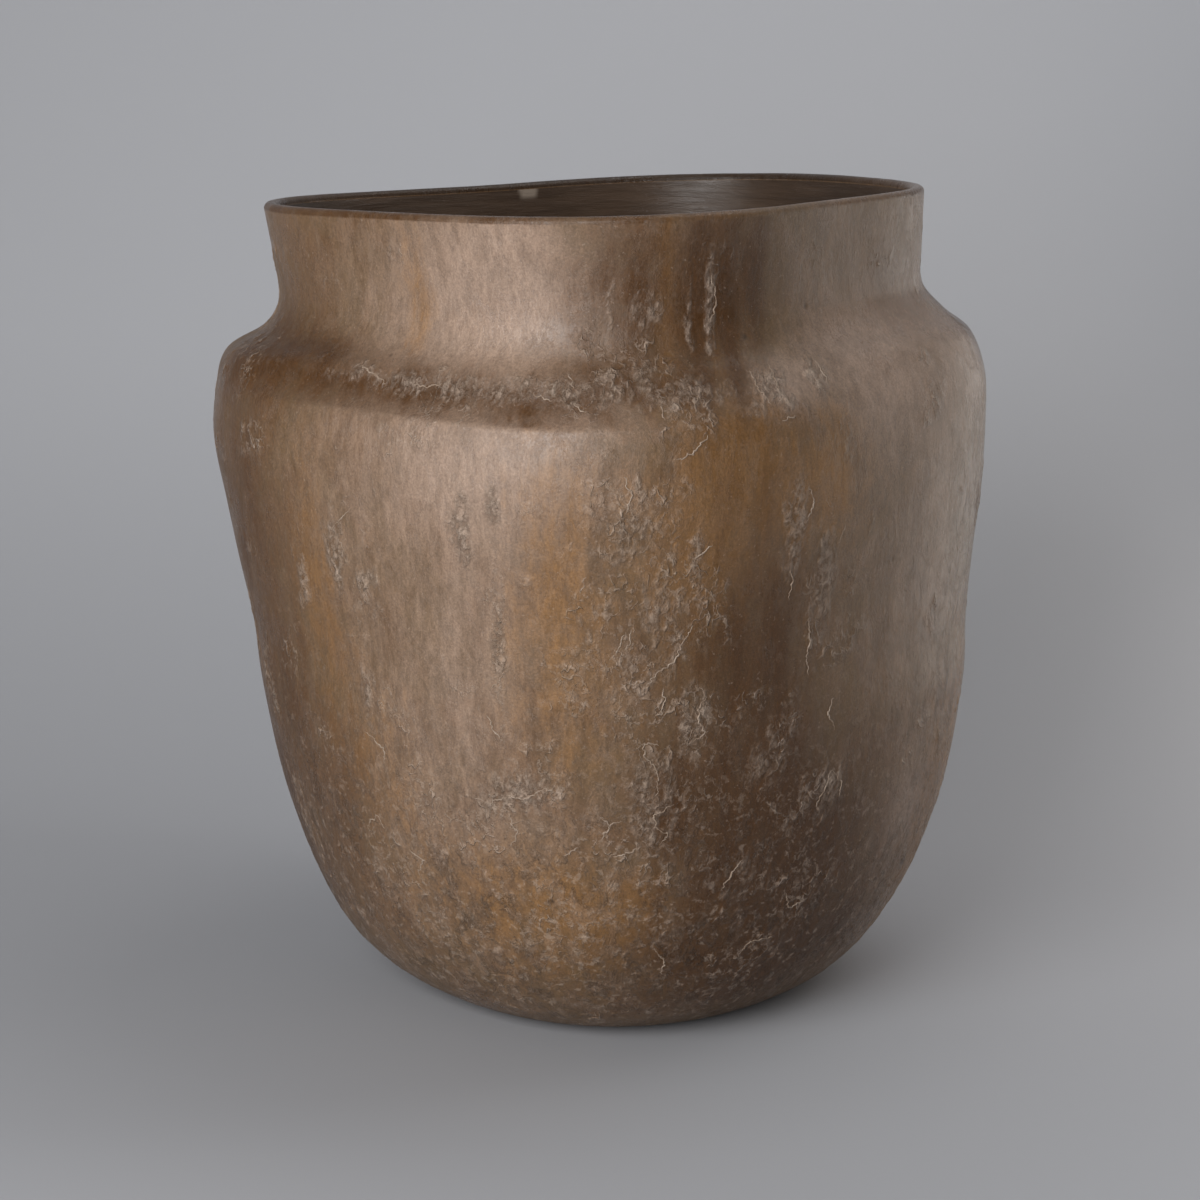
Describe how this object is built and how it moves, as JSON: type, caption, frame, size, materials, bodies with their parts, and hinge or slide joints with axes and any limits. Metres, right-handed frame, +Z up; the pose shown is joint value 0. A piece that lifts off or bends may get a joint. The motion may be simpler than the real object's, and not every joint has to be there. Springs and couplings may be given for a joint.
{
  "type": "storage jar",
  "caption": "Wide-mouthed hand-built clay storage jar with a rounded bowl, sloping shoulder and low flared neck; stands on a flat base and holds dry goods, oil or water.",
  "frame": {"origin": "centre of the flat base, on the floor", "axes": "+Z up the jar to its mouth, -Y the front as pictured, +X the right as pictured"},
  "size_m": [0.699, 0.6827, 0.7316],
  "materials": {
    "fired_clay": "burnished, worn, unglazed"
  },
  "bodies": {
    "root": {"base_slab": "fired_clay", "heel_coil": "fired_clay", "lower_bowl_coil": "fired_clay", "middle_bowl_coil": "fired_clay", "upper_bowl_coil": "fired_clay", "waist_coil": "fired_clay", "lower_wall_coil": "fired_clay", "middle_wall_coil": "fired_clay", "upper_wall_coil": "fired_clay", "belly_coil": "fired_clay", "shoulder_coil": "fired_clay", "neck_coil": "fired_clay", "rim_coil": "fired_clay"}
  },
  "joints": []
}
